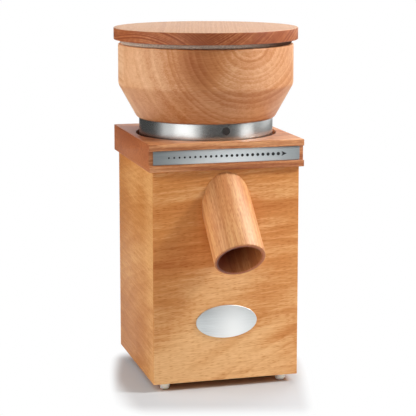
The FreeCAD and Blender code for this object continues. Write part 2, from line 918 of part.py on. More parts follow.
def make_switch():
    """The rocker switch in the back panel."""
    pivot = Vector(0, back_face + bezel_thickness - rocker_pivot_depth, switch_level)
    bezel = centred_block(
        bezel_width, bezel_thickness, switch_level - bezel_height / 2, switch_level + bezel_height / 2,
        0, back_face + bezel_thickness / 2,
    )
    corners = [e for e in bezel.Edges if abs(e.tangentAt(e.FirstParameter).y) > 0.5]
    bezel = bezel.makeFillet(bezel_corner, corners)
    body = block(
        switch_body_width,
        switch_body_depth,
        switch_body_height,
        Vector(
            -switch_body_width / 2, back_face - switch_body_depth, switch_level - switch_body_height / 2
        ),
    )
    half = rocker_radius + rocker_side_gap
    well_back = back_face + bezel_thickness - rocker_well
    well = block(
        rocker_width + 2 * rocker_side_gap,
        rocker_well + overrun,
        2 * half,
        Vector(-rocker_width / 2 - rocker_side_gap, well_back, switch_level - half),
    )
    reach = rocker_width / 2 + rocker_side_gap + overrun
    axle_hole = Part.makeCylinder(
        axle_radius + axle_play, 2 * reach, Vector(-reach, pivot.y, pivot.z), Vector(1, 0, 0)
    )
    save("switch_frame", bezel.fuse(body).cut([well, axle_hole]).removeSplitter())

    side = rocker_radius
    end = rocker_nose + side * math.tan(rocker_tilt)
    section = [
        Vector(-rocker_width / 2, -rocker_back, -side),
        Vector(-rocker_width / 2, end, -side),
        Vector(-rocker_width / 2, rocker_nose, 0),
        Vector(-rocker_width / 2, end, side),
        Vector(-rocker_width / 2, -rocker_back, side),
    ]
    rocker = Part.Face(outline(section)).extrude(Vector(rocker_width, 0, 0))
    drum = Part.makeCylinder(
        rocker_radius, rocker_width, Vector(-rocker_width / 2, 0, 0), Vector(1, 0, 0)
    )
    axle_reach = reach - axle_play
    axle = Part.makeCylinder(axle_radius, 2 * axle_reach, Vector(-axle_reach, 0, 0), Vector(1, 0, 0))
    rocker = rocker.common(drum).fuse(axle)
    rocker.rotate(Vector(0, 0, 0), Vector(1, 0, 0), rocker_tilt_deg)
    rocker.translate(pivot)
    save("switch_rocker", rocker)


def hexagon_corners(half_width, y):
    """Corners of an upright hexagon round the gland's axis, from half its width across flats."""
    reach = half_width / math.cos(math.pi / 6)
    turns = [math.pi * i / 3 for i in range(6)]
    return [
        Vector(gland_offset + reach * math.cos(turn), y, gland_level + reach * math.sin(turn))
        for turn in turns
    ]


def make_gland():
    """The cable gland in the back panel and the nut that holds it from inside."""
    x, z = gland_offset, gland_level
    y = Vector(0, 1, 0)
    stub = back_inside - gland_stub
    shank = Part.makeCylinder(gland_radius, back_face - stub, Vector(x, stub, z), y)
    hexagon = Part.Face(outline(hexagon_corners(gland_head, back_face))).extrude(y * gland_head_length)
    cap = Part.makeCylinder(
        gland_cap_radius, gland_cap_length, Vector(x, back_face + gland_head_length, z), y
    )
    tip = [e for e in cap.Edges if e.CenterOfMass.y > back_face + gland_head_length + gland_cap_length / 2]
    cap = cap.makeChamfer(gland_cap_chamfer, [e for e in tip if len(e.Vertexes) == 1])
    long = back_face - stub + gland_head_length + gland_cap_length + 2 * overrun
    bore = Part.makeCylinder(gland_bore, long, Vector(x, stub - overrun, z), y)
    save("cable_gland", shank.fuse([hexagon, cap]).cut(bore).removeSplitter())
    low = back_inside - nut_thickness
    nut = Part.Face(outline(hexagon_corners(nut_radius, low))).extrude(y * nut_thickness)
    hole = Part.makeCylinder(
        gland_radius + gland_play, nut_thickness + 2 * overrun, Vector(x, low - overrun, z), y
    )
    save("gland_nut", nut.cut(hole))


os.makedirs("parts", exist_ok=True)
make_panels()
make_head()
make_scale_plate()
make_plaque()
make_spout()
make_feet()
make_base()
make_chamber()
make_motor()
make_rotor()
make_stones()
make_holder()
make_ring()
make_hopper()
make_lid()
make_capacitor()
make_terminals()
make_switch()
make_gland()
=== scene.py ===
import json
import math

import bmesh
import bpy
from mathutils import Matrix, Vector


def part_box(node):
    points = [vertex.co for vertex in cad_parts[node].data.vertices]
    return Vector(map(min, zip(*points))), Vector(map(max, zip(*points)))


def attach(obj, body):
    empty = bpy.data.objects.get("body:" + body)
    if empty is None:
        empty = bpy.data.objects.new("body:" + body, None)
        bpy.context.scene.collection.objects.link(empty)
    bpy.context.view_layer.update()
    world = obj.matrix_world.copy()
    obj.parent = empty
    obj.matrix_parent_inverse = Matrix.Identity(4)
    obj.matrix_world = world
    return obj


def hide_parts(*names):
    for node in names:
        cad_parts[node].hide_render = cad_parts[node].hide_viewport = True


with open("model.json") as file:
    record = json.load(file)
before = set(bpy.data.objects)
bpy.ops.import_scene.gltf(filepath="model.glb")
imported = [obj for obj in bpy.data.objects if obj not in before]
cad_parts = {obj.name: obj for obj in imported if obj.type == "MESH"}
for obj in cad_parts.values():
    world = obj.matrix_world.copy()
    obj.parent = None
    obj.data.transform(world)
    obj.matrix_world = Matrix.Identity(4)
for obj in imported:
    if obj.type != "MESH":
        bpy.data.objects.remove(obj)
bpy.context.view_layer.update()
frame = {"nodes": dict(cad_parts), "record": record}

# Electric grain mill in oiled beech. Z points up and the front faces -Y.

MM = 0.001
TINY = 0.02 * MM

# Edges sharper than this many degrees are rounded and stay sharp in the shading
SHARP_ANGLE = 30

# How far a cut reaches past the wood
PANEL_CUT_PAST = 10 * MM
HEAD_CUT_PAST = 5 * MM

# The photograph's camera
CAMERA_PLACE = Vector((-0.4247, -1.5467, 0.4783))
CAMERA_TURN = 0.268
CAMERA_PITCH = 0.163
CAMERA_LENS = 129.6
CAMERA_SENSOR = 36
CAMERA_SHIFT = (0.0052, -0.08)
CAMERA_CLIP = (0.05, 50)

# The camera's level line of sight, and what lies to the right of it
SIGHT = Vector((math.sin(CAMERA_TURN), math.cos(CAMERA_TURN), 0))
RIGHT = Vector((math.cos(CAMERA_TURN), -math.sin(CAMERA_TURN), 0))
UP = Vector((0, 0, 1))

# The hopper is glued from blocks, and this is the way square to their joints
GLUE_LINE = Vector((0.182, 0.983, 0))

# How often each mark of the beech comes in a metre: along the pith or the fibres, then across them
DRIFT_PITCH = (4.0, 14.0, 14.0)
CLOUD_PITCH = (8.0, 38.0, 38.0)
STREAK_PITCH = (20.0, 300.0, 300.0)
DASH_PITCH = (130.0, 1200.0, 1200.0)
FIBRE_PITCH = (50.0, 1700.0, 1700.0)
PORE_PITCH = (160.0, 900.0, 900.0)
FIBRE_SHARE = 0.1

# Case
CASE_LOW = Vector((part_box("left_panel")[0].x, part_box("front_panel")[0].y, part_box("left_panel")[0].z))
CASE_HIGH = Vector((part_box("right_panel")[1].x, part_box("back_panel")[1].y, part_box("left_panel")[1].z))
PANEL_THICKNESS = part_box("left_panel")[1].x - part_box("left_panel")[0].x
CASE_EDGE = 0.9 * MM
PANEL_CLEARANCE = 0.1 * MM
SWITCH_RIM = 1.3 * MM
GLAND_HOLE = 8.15 * MM

# Head
HEAD_LOW, HEAD_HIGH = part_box("head_slab")
HEAD_EDGE = 0.7 * MM
WELL_RADIUS = 75.5 * MM
WELL_DEPTH = 18.7 * MM
CHAMBER_HOLE = 56.1 * MM
CHAMBER_CUT = 60 * MM
GROOVE_DEPTH = 3.5 * MM
GROOVE_HEIGHT = 14.9 * MM
PLATE_LOW, PLATE_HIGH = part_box("scale_plate")
PLATE_EDGE = 0.2 * MM

# Marks on the scale
DOT_COUNT = 22
FIRST_DOT = -62.0 * MM
LAST_DOT = 55.0 * MM
SMALLEST_DOT = 0.95 * MM
LARGEST_DOT = 1.8 * MM
ARROW_PLACE = 61.4 * MM
ARROW_LENGTH = 5.8 * MM
ARROW_WIDTH = 5.0 * MM
ARROW_NOTCH = 1.2 * MM
MARK_THICKNESS = 0.06 * MM

# Spout
SPOUT_MOUNT = next(mount for mount in frame["record"]["mounts"] if mount["name"] == "spout_bore")
SPOUT_AXIS = -Vector(SPOUT_MOUNT["axis"])
SPOUT_MOUNT_DEPTH = 30 * MM
MOUTH = Vector(SPOUT_MOUNT["pos_m"]) - SPOUT_AXIS * SPOUT_MOUNT_DEPTH
SPOUT_RADIUS = 26.55 * MM
SPOUT_BORE = 22.5 * MM
SPOUT_LAND = 60 * MM
SPOUT_FLARE = 24.0 * MM
SPOUT_LENGTH = 150 * MM
SPOUT_ROOM = 100 * MM
SPOUT_LIP = 1.3 * MM
# Radius inside which the bore's painted shade begins
SPOUT_CORE = SPOUT_RADIUS - 2 * MM

# Plaque
PLAQUE_LOW, PLAQUE_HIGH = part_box("oval_plaque")
PLAQUE_EDGE = 0.45 * MM

# Hopper and its ring
RING_LOW, RING_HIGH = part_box("steel_ring")
RING_THICKNESS = 1.5 * MM
RING_EDGE = 0.25 * MM
BOWL_LOW, BOWL_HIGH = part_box("hopper_bowl")
HOPPER_RADIUS = BOWL_HIGH.x
CONE_LOW_RADIUS = 73.9 * MM
CONE_HEIGHT = 36.3 * MM
HOPPER_WALL = 10 * MM
FUNNEL_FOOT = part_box("feed_tube")[1].z
FUNNEL_TOP = RING_HIGH.z + 44.8 * MM
THROAT_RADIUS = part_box("feed_tube")[1].x + 0.05 * MM
SPIGOT_PLAY = 0.1 * MM
RIM_ROUNDING = 1.2 * MM
CREASE_ROUNDING = 2.5 * MM
CONE_ROUNDING = 3.0 * MM

# Lid
LID_LOW, LID_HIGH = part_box("lid_disc")
LID_ROUNDING = 0.8 * MM
SPIGOT_LOW, SPIGOT_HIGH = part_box("lid_spigot")
SEAL_LOW, SEAL_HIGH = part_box("lid_seal")
SEAL_WIDTH = 6 * MM
SEAL_UPPER_ROUNDING = 0.8 * MM
SEAL_LOWER_ROUNDING = 2.4 * MM

# Feet
FEET_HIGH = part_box("feet")[1]
FOOT_RADIUS = 5.15 * MM
FOOT_ROUNDING = 2.6 * MM

# Screws under the base board
BASE_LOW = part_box("base_board")[0]
BLOCK_SIDE = 14 * MM
SCREW_HEAD = 3.8 * MM
SCREW_HEAD_HEIGHT = 1.6 * MM
SCREW_SLOT = 0.9 * MM

# Table. The mill's shadow shows in a block whose middle, half size and soft edge are measured to the
# camera's right, along its sight and along X.
FLOOR_SIZE = 12
SHADOW_MIDDLE = (0.002, -0.0575, 0.0)
SHADOW_SIZE = (0.092, 0.0775, 0.097)
SHADOW_FADE = (0.018, 0.043, 0.03)
# Painted contact shadow: within this reach of the mill the table darkens towards this tone.
CONTACT_SHADOW_REACH = 0.03
CONTACT_SHADOW_TONE = (0.45, 0.28, 0.20, 1)
TABLE_TONE = (0.9, 0.9, 0.9, 1)
SEEN_TABLE_TONE = (0.64, 0.66, 0.68, 1)
TABLE_EDGE = 1.4
TABLE_END = 1.6

# Light
ROOM_LIGHT = 0.22
WHITE = (1, 1, 1, 1)
CARD_GREY = (0.05, 0.05, 0.05, 1)
CARD_HEIGHT = 0.34


def deselect():
    """Leave nothing selected, in object mode."""
    if bpy.context.mode != "OBJECT":
        bpy.ops.object.mode_set(mode="OBJECT")
    bpy.ops.object.select_all(action="DESELECT")


def take(piece):
    """Make one piece the selected and active one."""
    deselect()
    piece.select_set(True)
    bpy.context.view_layer.objects.active = piece


def apply_place(piece):
    """Put a piece's place, turn and size into its mesh."""
    take(piece)
    bpy.ops.object.transform_apply(location=True, rotation=True, scale=True)


def named(name):
    """Name the object just added, and its mesh."""
    piece = bpy.context.object
    piece.name = name
    piece.data.name = name
    return piece


def select_part(piece, test):
    """In edit mode, select the vertices that pass a test on their place, and what lies between them."""
    mesh = bmesh.from_edit_mesh(piece.data)
    mesh.select_mode = {"VERT"}
    for vertex in mesh.verts:
        vertex.select = test(vertex.co)
    mesh.select_flush_mode()
    bmesh.update_edit_mesh(piece.data)


def turned(name, rings, solid=False, segments=128):
    """A turned piece: a circle drawn out and resized from ring to ring, each a (radius, level) pair."""
    deselect()
    radius, level = rings[0]
    fill = "NGON" if solid else "NOTHING"
    bpy.ops.mesh.primitive_circle_add(
        vertices=segments, radius=radius, fill_type=fill, location=(0, 0, level)
    )
    piece = named(name)
    bpy.ops.object.mode_set(mode="EDIT")
    bpy.ops.mesh.select_all(action="SELECT")
    for next_radius, next_level in rings[1:] + ([] if solid else rings[:1]):
        bpy.ops.mesh.extrude_region_move(TRANSFORM_OT_translate={"value": (0, 0, next_level - level)})
        growth = next_radius / radius
        bpy.ops.transform.resize(value=(growth, growth, 1), center_override=(0, 0, next_level))
        radius, level = next_radius, next_level
    bpy.ops.mesh.select_all(action="SELECT")
    bpy.ops.mesh.remove_doubles(threshold=TINY)
    bpy.ops.mesh.normals_make_consistent(inside=False)
    apply_place(piece)
    return piece


def round_ring(piece, radius, level, width, steps=4):
    """Round the edge that runs round a turned piece at a radius and level."""
    take(piece)
    bpy.ops.object.mode_set(mode="EDIT")
    bpy.ops.mesh.select_all(action="DESELECT")
    bpy.ops.mesh.select_mode(type="EDGE")
    mesh = bmesh.from_edit_mesh(piece.data)
    for edge in mesh.edges:
        ends = [vertex.co for vertex in edge.verts]
        edge.select = all(
            abs(end.z - level) < TINY and abs(math.hypot(end.x, end.y) - radius) < TINY for end in ends
        )
    bmesh.update_edit_mesh(piece.data)
    bpy.ops.mesh.bevel(offset=width, segments=steps, affect="EDGES")
    bpy.ops.object.mode_set(mode="OBJECT")


def boxed(name, low, high):
    """A cube stretched between two corners."""
    deselect()
    middle = (Vector(low) + Vector(high)) / 2
    bpy.ops.mesh.primitive_cube_add(size=1, location=middle, scale=Vector(high) - Vector(low))
    piece = named(name)
    apply_place(piece)
    return piece


def rod(name, radius, start, direction, length, segments=96):
    """A cylinder from a point along a direction."""
    deselect()
    turn = Vector(direction).to_track_quat("Z", "Y").to_euler()
    middle = Vector(start) + Vector(direction).normalized() * length / 2
    bpy.ops.mesh.primitive_cylinder_add(
        vertices=segments, radius=radius, depth=length, location=middle, rotation=turn
    )
    piece = named(name)
    apply_place(piece)
    return piece


def apply_modifier(piece, kind, **settings):
    """Add a modifier, set it and apply it."""
    take(piece)
    modifier = piece.modifiers.new(kind, kind)
    for key, value in settings.items():
        setattr(modifier, key, value)
    bpy.ops.object.modifier_apply(modifier=modifier.name)


def cut_with(piece, tool, way="DIFFERENCE"):
    """Cut a piece with a tool shape, which is then thrown away."""
    apply_modifier(piece, "BOOLEAN", object=tool, operation=way, solver="EXACT")
    bpy.data.objects.remove(tool)


def soften(piece, width, steps=3):
    """Round all sharp edges a little."""
    sharp = math.radians(SHARP_ANGLE)
    apply_modifier(
        piece, "BEVEL", width=width, segments=steps, limit_method="ANGLE", angle_limit=sharp
    )


def shade(piece, angle=SHARP_ANGLE):
    """Smooth shading but for sharp edges."""
    take(piece)
    bpy.ops.object.shade_smooth_by_angle(angle=math.radians(angle))
    deselect()


def bisect(piece, place, normal):
    """Keep what lies behind a plane and close the cut."""
    take(piece)
    bpy.ops.object.mode_set(mode="EDIT")
    bpy.ops.mesh.select_all(action="SELECT")
    bpy.ops.mesh.bisect(plane_co=place, plane_no=normal, use_fill=True, clear_outer=True)
    bpy.ops.object.mode_set(mode="OBJECT")


def joined(name, pieces):
    """Several objects made one."""
    take(pieces[0])
    for piece in pieces[1:]:
        piece.select_set(True)
    bpy.ops.object.join()
    return named(name)


def copied(model, name, spot):
    """A copy of a piece with its own name, moved by a vector."""
    piece = model.copy()
    piece.data = model.data.copy()
    piece.name = name
    bpy.context.scene.collection.objects.link(piece)
    piece.location = spot
    apply_place(piece)
    return piece


def finish_piece(piece, material, body, slot, *nodes):
    """Give a piece its material and body, and hide the nodes that it stands for. slot is not used."""
    piece.data.materials.clear()
    piece.data.materials.append(material)
    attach(piece, body)
    if nodes:
        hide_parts(*nodes)


def tone(red, green, blue):
    """A colour from its three screen values, 0 to 255, as light."""
    shares = [value / 255 for value in (red, green, blue)]
    return tuple(s / 12.92 if s <= 0.04045 else ((s + 0.055) / 1.055) ** 2.4 for s in shares) + (1.0,)


class Nodes:
    """A node tree while it is built."""

    def __init__(self, tree):
        self.tree = tree

    def feed(self, socket, value):
        """Link a socket, or set it."""
        if isinstance(value, bpy.types.NodeSocket):
            self.tree.links.new(value, socket)
        else:
            socket.default_value = value

    def add(self, kind, inputs=None, **settings):
        """Add a node with its settings and inputs."""
        node = self.tree.nodes.new("ShaderNode" + kind)
        for key, value in settings.items():
            setattr(node, key, value)
        for key, value in (inputs or {}).items():
            self.feed(node.inputs[key], value)
        return node

    def math(self, operation, first, second=0.0, clamp=False):
        """One sum."""
        node = self.add("Math", {0: first, 1: second}, operation=operation, use_clamp=clamp)
        return node.outputs[0]

    def vector(self, operation, first, second=(0.0, 0.0, 0.0)):
        """One sum on vectors."""
        node = self.add("VectorMath", {0: first, 1: second}, operation=operation)
        return node.outputs[1 if operation == "DOT_PRODUCT" else 0]

    def scaled(self, vector, scale):
        """A vector made longer or shorter by a factor."""
        node = self.add("VectorMath", {0: vector, "Scale": scale}, operation="SCALE")
        return node.outputs[0]

    def length(self, vector):
        """How long a vector is."""
        return self.add("VectorMath", {0: vector}, operation="LENGTH").outputs["Value"]

    def noise(self, vector, scale=1.0, detail=2.0, roughness=0.5, colour=False):
        """Noise on a vector."""
        node = self.add(
            "TexNoise", {"Vector": vector, "Scale": scale, "Detail": detail, "Roughness": roughness}
        )
        return node.outputs["Color" if colour else "Fac"]

    def combined(self, first, second, third, scale):
        """Three values made a vector, each with its own scale."""
        node = self.add("CombineXYZ", {0: first, 1: second, 2: third})
        return self.vector("MULTIPLY", node.outputs[0], scale)

    def squares(self, first, second):
        """The sum of two squares."""
        return self.math("ADD", self.math("MULTIPLY", first, first), self.math("MULTIPLY", second, second))

    def waver(self, value, length, swing, least=None):
        """Smooth chance change along a value, about zero or from a least value up to the swing."""
        node = self.add(
            "TexNoise", {"W": self.math("DIVIDE", value, length), "Scale": 1.0, "Detail": 2.0},
            noise_dimensions="1D",
        )
        if least is None:
            return self.math("MULTIPLY", self.math("SUBTRACT", node.outputs["Fac"], 0.5), 2 * swing)
        return self.between(node.outputs["Fac"], 0.3, 0.7, least, swing)

    def between(self, value, low, high, start=0.0, end=1.0):
        """A value moved smoothly from one range to another."""
        node = self.add(
            "MapRange",
            {"Value": value, "From Min": low, "From Max": high, "To Min": start, "To Max": end},
            interpolation_type="SMOOTHSTEP",
        )
        return node.outputs["Result"]

    def mix(self, share, first, second, blend="MIX"):
        """Two colours mixed."""
        node = self.add("Mix", {0: share, 6: first, 7: second}, data_type="RGBA", blend_type=blend)
        return node.outputs[2]

    def ramp(self, share, light, deep):
        """From light to deep by way of the tone that thin and thick oil make between them."""
        middle = tuple(math.sqrt(one * other) for one, other in zip(light, deep))
        upper = self.mix(self.math("MULTIPLY", share, 2.0, clamp=True), light, middle)
        past = self.math("SUBTRACT", self.math("MULTIPLY", share, 2.0), 1.0, clamp=True)
        return self.mix(past, upper, deep)


class Finish(Nodes):
    """A material while it is built: its nodes and its surface."""

    def __init__(self, name, roughness, metallic=0.0):
        self.material = bpy.data.materials.new(name)
        self.material.use_nodes = True
        super().__init__(self.material.node_tree)
        self.surface = self.tree.nodes["Principled BSDF"]
        self.set_surface("Roughness", roughness)
        self.set_surface("Metallic", metallic)
        spot = self.add("TexCoord")
        self.place, self.facing = spot.outputs["Object"], spot.outputs["Normal"]

    def set_surface(self, name, value):
        """Set or link one of the surface's inputs."""
        self.feed(self.surface.inputs[name], value)

    def bump(self, height, depth, strength=1.0):
        """Fine relief."""
        node = self.add("Bump", {"Height": height, "Distance": depth, "Strength": strength})
        self.set_surface("Normal", node.outputs["Normal"])


def beech(
    name, grain, across, pith, light, deep, ring=3 * MM, ring_share=0.3, tone_share=0.5, wander=4 * MM,
    line=None, seams=(), cloud_share=0.3, dash_share=0.2, streak_share=0.1, fleck_share=0.25, patches=(),
    tint=(0.62, 0.5, 0.42, 1), pale_way=None, roughness=0.42, shine=0.35, band_width=14 * MM, core=None,
    ring_reach=None,
):
    """Oiled beech with growth rings round a pith line, soft clouds, streaks, short pores and patches.

    grain is the way of the fibres and line that of the pith, where it differs. across is square to line,
    and pith a point that the line goes through. A seam, which is a glue line, has a normal, a distance
    along it, the shift of the pith beyond it and how much deeper the tone is there. A patch has a middle,
    a reach along each axis and a depth; the patches mostly paint light and shade. Past ring_reach from
    the pith the rings grow faint.

    tint colours end grain, or with pale_way what doesn't face that way, which paints shade on it. pale_way
    has the way, how much a face points there when it is pale and when it is tinted, and the share of the
    grain on pale faces.
    core is a bore: a point and direction of its axis, its radius, the way in which it grows dark, how far
    that takes, and its tints before and after."""
    made = Finish(name, roughness)
    grain = Vector(grain).normalized()
    line = Vector(line or grain).normalized()
    across = Vector(across)
    across = (across - line * across.dot(line)).normalized()
    axes = (line, across, line.cross(across))
    spot = made.place
    share = 0.25
    for normal, distance, jump, deeper in seams:
        beyond = made.math("GREATER_THAN", made.vector("DOT_PRODUCT", made.place, normal), distance)
        spot = made.vector("ADD", spot, made.scaled(tuple(jump), beyond))
        share = made.math("ADD", share, made.math("MULTIPLY", beyond, deeper))
    spot = made.vector("SUBTRACT", spot, tuple(pith))
    along, side, up = (made.vector("DOT_PRODUCT", spot, tuple(axis)) for axis in axes)
    slow = made.noise(made.combined(along, side, up, DRIFT_PITCH), detail=1.0, colour=True)
    drift = made.scaled(made.vector("SUBTRACT", slow, (0.5, 0.5, 0.5)), 2 * wander)
    side = made.math("ADD", side, made.vector("DOT_PRODUCT", drift, (1.0, 0.0, 0.0)))
    up = made.math("ADD", up, made.vector("DOT_PRODUCT", drift, (0.0, 1.0, 0.0)))
    radius = made.math("SQRT", made.squares(side, up))

    year = made.math("ADD", made.math("DIVIDE", radius, ring), made.waver(radius, ring * 5, 1.6))
    part = made.math("FRACT", year)
    rings = made.math("MULTIPLY", made.between(part, 0.0, 0.85), made.between(part, 1.0, 0.85))
    strong = made.waver(radius, ring * 2.3, 1.0, 0.25)
    if ring_reach:
        strong = made.math("MULTIPLY", strong, made.between(radius, ring_reach, 1.5 * ring_reach, 1.0, 0.3))
    share = made.math("ADD", share, made.math("MULTIPLY", rings, made.math("MULTIPLY", strong, ring_share)))
    share = made.math("ADD", share, made.math("MULTIPLY", made.waver(radius, band_width, 1.0), tone_share))
    # Patches: deeper or paler tone at places on the piece, mostly painted light and shade.
    for middle, reach, depth in patches:
        off = made.vector("DIVIDE", made.vector("SUBTRACT", made.place, tuple(middle)), reach)
        share = made.math("ADD", share, made.between(made.length(off), 1.0, 0.0, 0.0, depth))

    cloud = made.noise(made.combined(along, side, up, CLOUD_PITCH))
    share = made.math("ADD", share, made.between(cloud, 0.3, 0.7, -cloud_share, cloud_share))
    beside = grain.orthogonal().normalized()
    run_axes = (grain, beside, grain.cross(beside))
    run = [made.vector("DOT_PRODUCT", made.place, tuple(axis)) for axis in run_axes]
    streak = made.noise(made.combined(*run, STREAK_PITCH))
    share = made.math("ADD", share, made.between(streak, 0.3, 0.7, -streak_share, streak_share), clamp=True)
    dash = made.noise(made.combined(*run, DASH_PITCH), detail=1.5)
    fibre = made.noise(made.combined(*run, FIBRE_PITCH), roughness=0.6)
    dark_dash = made.between(dash, 0.35, 0.7, 0.0, dash_share)
    fine = made.math("ADD", dark_dash, made.between(fibre, 0.3, 0.7, 0.0, FIBRE_SHARE))
    cells = made.add("TexVoronoi", {"Vector": made.combined(*run, PORE_PITCH), "Scale": 1.0})
    pore = made.between(cells.outputs["Distance"], 0.45, 0.2)
    chosen = made.vector("DOT_PRODUCT", cells.outputs["Color"], (1.0, 0.0, 0.0))
    pore = made.math("MULTIPLY", pore, made.math("GREATER_THAN", chosen, 0.55))
    fine = made.math("ADD", fine, made.math("MULTIPLY", pore, fleck_share))

    # Painted shade: faces turned from pale_way take the tint.
    if pale_way:
        way, facing, turned_away, grain_left = pale_way
        tinted = made.between(made.vector("DOT_PRODUCT", made.facing, tuple(way)), facing, turned_away)
        share = made.math("MULTIPLY", share, made.between(tinted, 0.0, 1.0, grain_left, 1.0))
    else:
        tinted = made.math("ABSOLUTE", made.vector("DOT_PRODUCT", made.facing, tuple(line)))
        tinted = made.math("POWER", tinted, 1.5)
        share = made.math("MULTIPLY", share, made.between(tinted, 0.3, 0.9, 1.0, 0.4))
        share = made.math("ADD", share, made.between(tinted, 0.3, 0.9, 0.0, 0.2))
    wood = made.ramp(made.math("ADD", share, fine), light, deep)
    wood = made.mix(1.0, wood, made.mix(tinted, WHITE, tint), "MULTIPLY")
    # Painted shade inside a bore, deepening away from the mouth.
    if core:
        point, way, bore, fall, depth, near, dark = core
        from_mouth = made.vector("SUBTRACT", made.place, tuple(point))
        off = made.vector("CROSS_PRODUCT", from_mouth, tuple(way))
        inside = made.between(made.length(off), bore, bore - 0.2 * MM)
        deeper = made.between(made.vector("DOT_PRODUCT", from_mouth, tuple(fall)), -depth, depth)
        wood = made.mix(inside, wood, made.mix(1.0, wood, made.mix(deeper, near, dark), "MULTIPLY"))

    made.set_surface("Base Color", wood)
    made.set_surface("Specular IOR Level", shine)
    made.set_surface("Roughness", made.between(fibre, 0.2, 0.8, roughness - 0.05, roughness + 0.07))
    made.bump(made.math("SUBTRACT", fibre, pore), 0.03 * MM, 0.3)
    return made.material


def brushed(name, colour, roughness, along, streak=0.12, metallic=1.0, painted_gleam=None, reach=None):
    """Brushed stainless steel: fine scratches along a direction, and a painted highlight of its own colour.

    reach has the middle of the painted highlight along X and how far it goes each way."""
    made = Finish(name, roughness, metallic)
    along = Vector(along)
    stretch = [30.0 if abs(part) > 0.5 else 2600.0 for part in along]
    lines = made.noise(made.vector("MULTIPLY", made.place, tuple(stretch)), detail=3.0, roughness=0.7)
    pale = tuple(min(1.0, part * 1.10) for part in colour[:3]) + (1.0,)
    dark = tuple(part * 0.86 for part in colour[:3]) + (1.0,)
    steel = made.mix(made.between(lines, 0.3, 0.7), dark, pale)
    # Painted highlight: the steel pales towards the given colour near a middle along X.
    if painted_gleam:
        off = made.math("SUBTRACT", made.vector("DOT_PRODUCT", made.place, (1.0, 0.0, 0.0)), reach[0])
        steel = made.mix(made.between(made.math("ABSOLUTE", off), reach[1], 0.0), steel, painted_gleam)
    made.set_surface("Base Color", steel)
    least, most = roughness - streak / 2, roughness + streak / 2
    made.set_surface("Roughness", made.between(lines, 0.25, 0.75, least, most))
    made.bump(lines, 0.005 * MM, 0.3)
    return made.material


def moulded(name, colour, roughness):
    """Moulded plastic or rubber with a fine grain."""
    made = Finish(name, roughness)
    fine = made.noise(made.place, scale=900.0)
    cloud = made.noise(made.place, scale=25.0)
    pale = tuple(min(1.0, part * 1.15 + 0.004) for part in colour[:3]) + (1.0,)
    made.set_surface("Base Color", made.mix(made.between(cloud, 0.3, 0.7), colour, pale))
    made.set_surface("Roughness", made.between(fine, 0.3, 0.7, roughness - 0.05, roughness + 0.08))
    made.bump(fine, 0.02 * MM, 0.6)
    return made.material


def felt(name, light, dark, painted_shade_tint):
    """Pressed wool felt: speckled fibres, a soft relief, and painted shade at its right end."""
    made = Finish(name, 0.95)
    speckle = made.noise(made.place, scale=1500.0, detail=3.0, roughness=0.7)
    wool = made.noise(made.vector("MULTIPLY", made.place, (500.0, 500.0, 1400.0)))
    share = made.between(speckle, 0.35, 0.65, 0.0, 0.6)
    share = made.math("ADD", share, made.between(wool, 0.3, 0.7, 0.0, 0.4))
    # Painted shade: the felt darkens to the last colour towards its right end, where the lid's shadow
    # falls.
    shaded_end = made.between(made.vector("DOT_PRODUCT", made.place, tuple(RIGHT)), 0.03, 0.085)
    painted_shade = made.mix(shaded_end, WHITE, painted_shade_tint)
    made.set_surface("Base Color", made.mix(1.0, made.mix(share, dark, light), painted_shade, "MULTIPLY"))
    made.bump(made.math("ADD", speckle, wool), 0.25 * MM, 0.7)
    made.set_surface("Specular IOR Level", 0.15)
    made.set_surface("Sheen Weight", 0.05)
    return made.material


def stone(name, colour):
    """Rough millstone with dark and pale grains."""
    made = Finish(name, 0.9)
    grains = made.add("TexVoronoi", {"Vector": made.place, "Scale": 900.0})
    share = made.vector("DOT_PRODUCT", grains.outputs["Color"], (0.5, 0.3, 0.2))
    cloud = made.noise(made.place, scale=60.0, detail=3.0)
    pale = tuple(min(1.0, part * 1.35) for part in colour[:3]) + (1.0,)
    dark = tuple(part * 0.55 for part in colour[:3]) + (1.0,)
    mixed = made.mix(made.between(share, 0.2, 0.8), dark, pale)
    made.set_surface("Base Color", made.mix(made.between(cloud, 0.3, 0.7, 0.0, 0.35), mixed, colour))
    made.bump(share, 0.15 * MM, 0.8)
    return made.material


def cast(name, colour, roughness=0.42):
    """Cast or plated metal with a slight mottle."""
    made = Finish(name, roughness, 1.0)
    mottle = made.noise(made.place, scale=420.0, detail=3.0)
    dark = tuple(part * 0.8 for part in colour[:3]) + (1.0,)
    made.set_surface("Base Color", made.mix(made.between(mottle, 0.3, 0.7), dark, colour))
    made.set_surface("Roughness", made.between(mottle, 0.3, 0.7, roughness - 0.06, roughness + 0.1))
    made.bump(mottle, 0.04 * MM, 0.5)
    return made.material


def wire_wound(name, colour):
    """Enamelled copper wire wound round the motor's axis."""
    made = Finish(name, 0.3, 0.6)
    turns = made.add(
        "TexWave", {"Vector": made.place, "Scale": math.pi / 10 / (0.9 * MM), "Distortion": 1.5},
        wave_type="RINGS", rings_direction="Z",
    ).outputs["Fac"]
    dark = tuple(part * 0.4 for part in colour[:3]) + (1.0,)
    made.set_surface("Base Color", made.mix(turns, dark, colour))
    made.bump(turns, 0.2 * MM, 0.8)
    return made.material


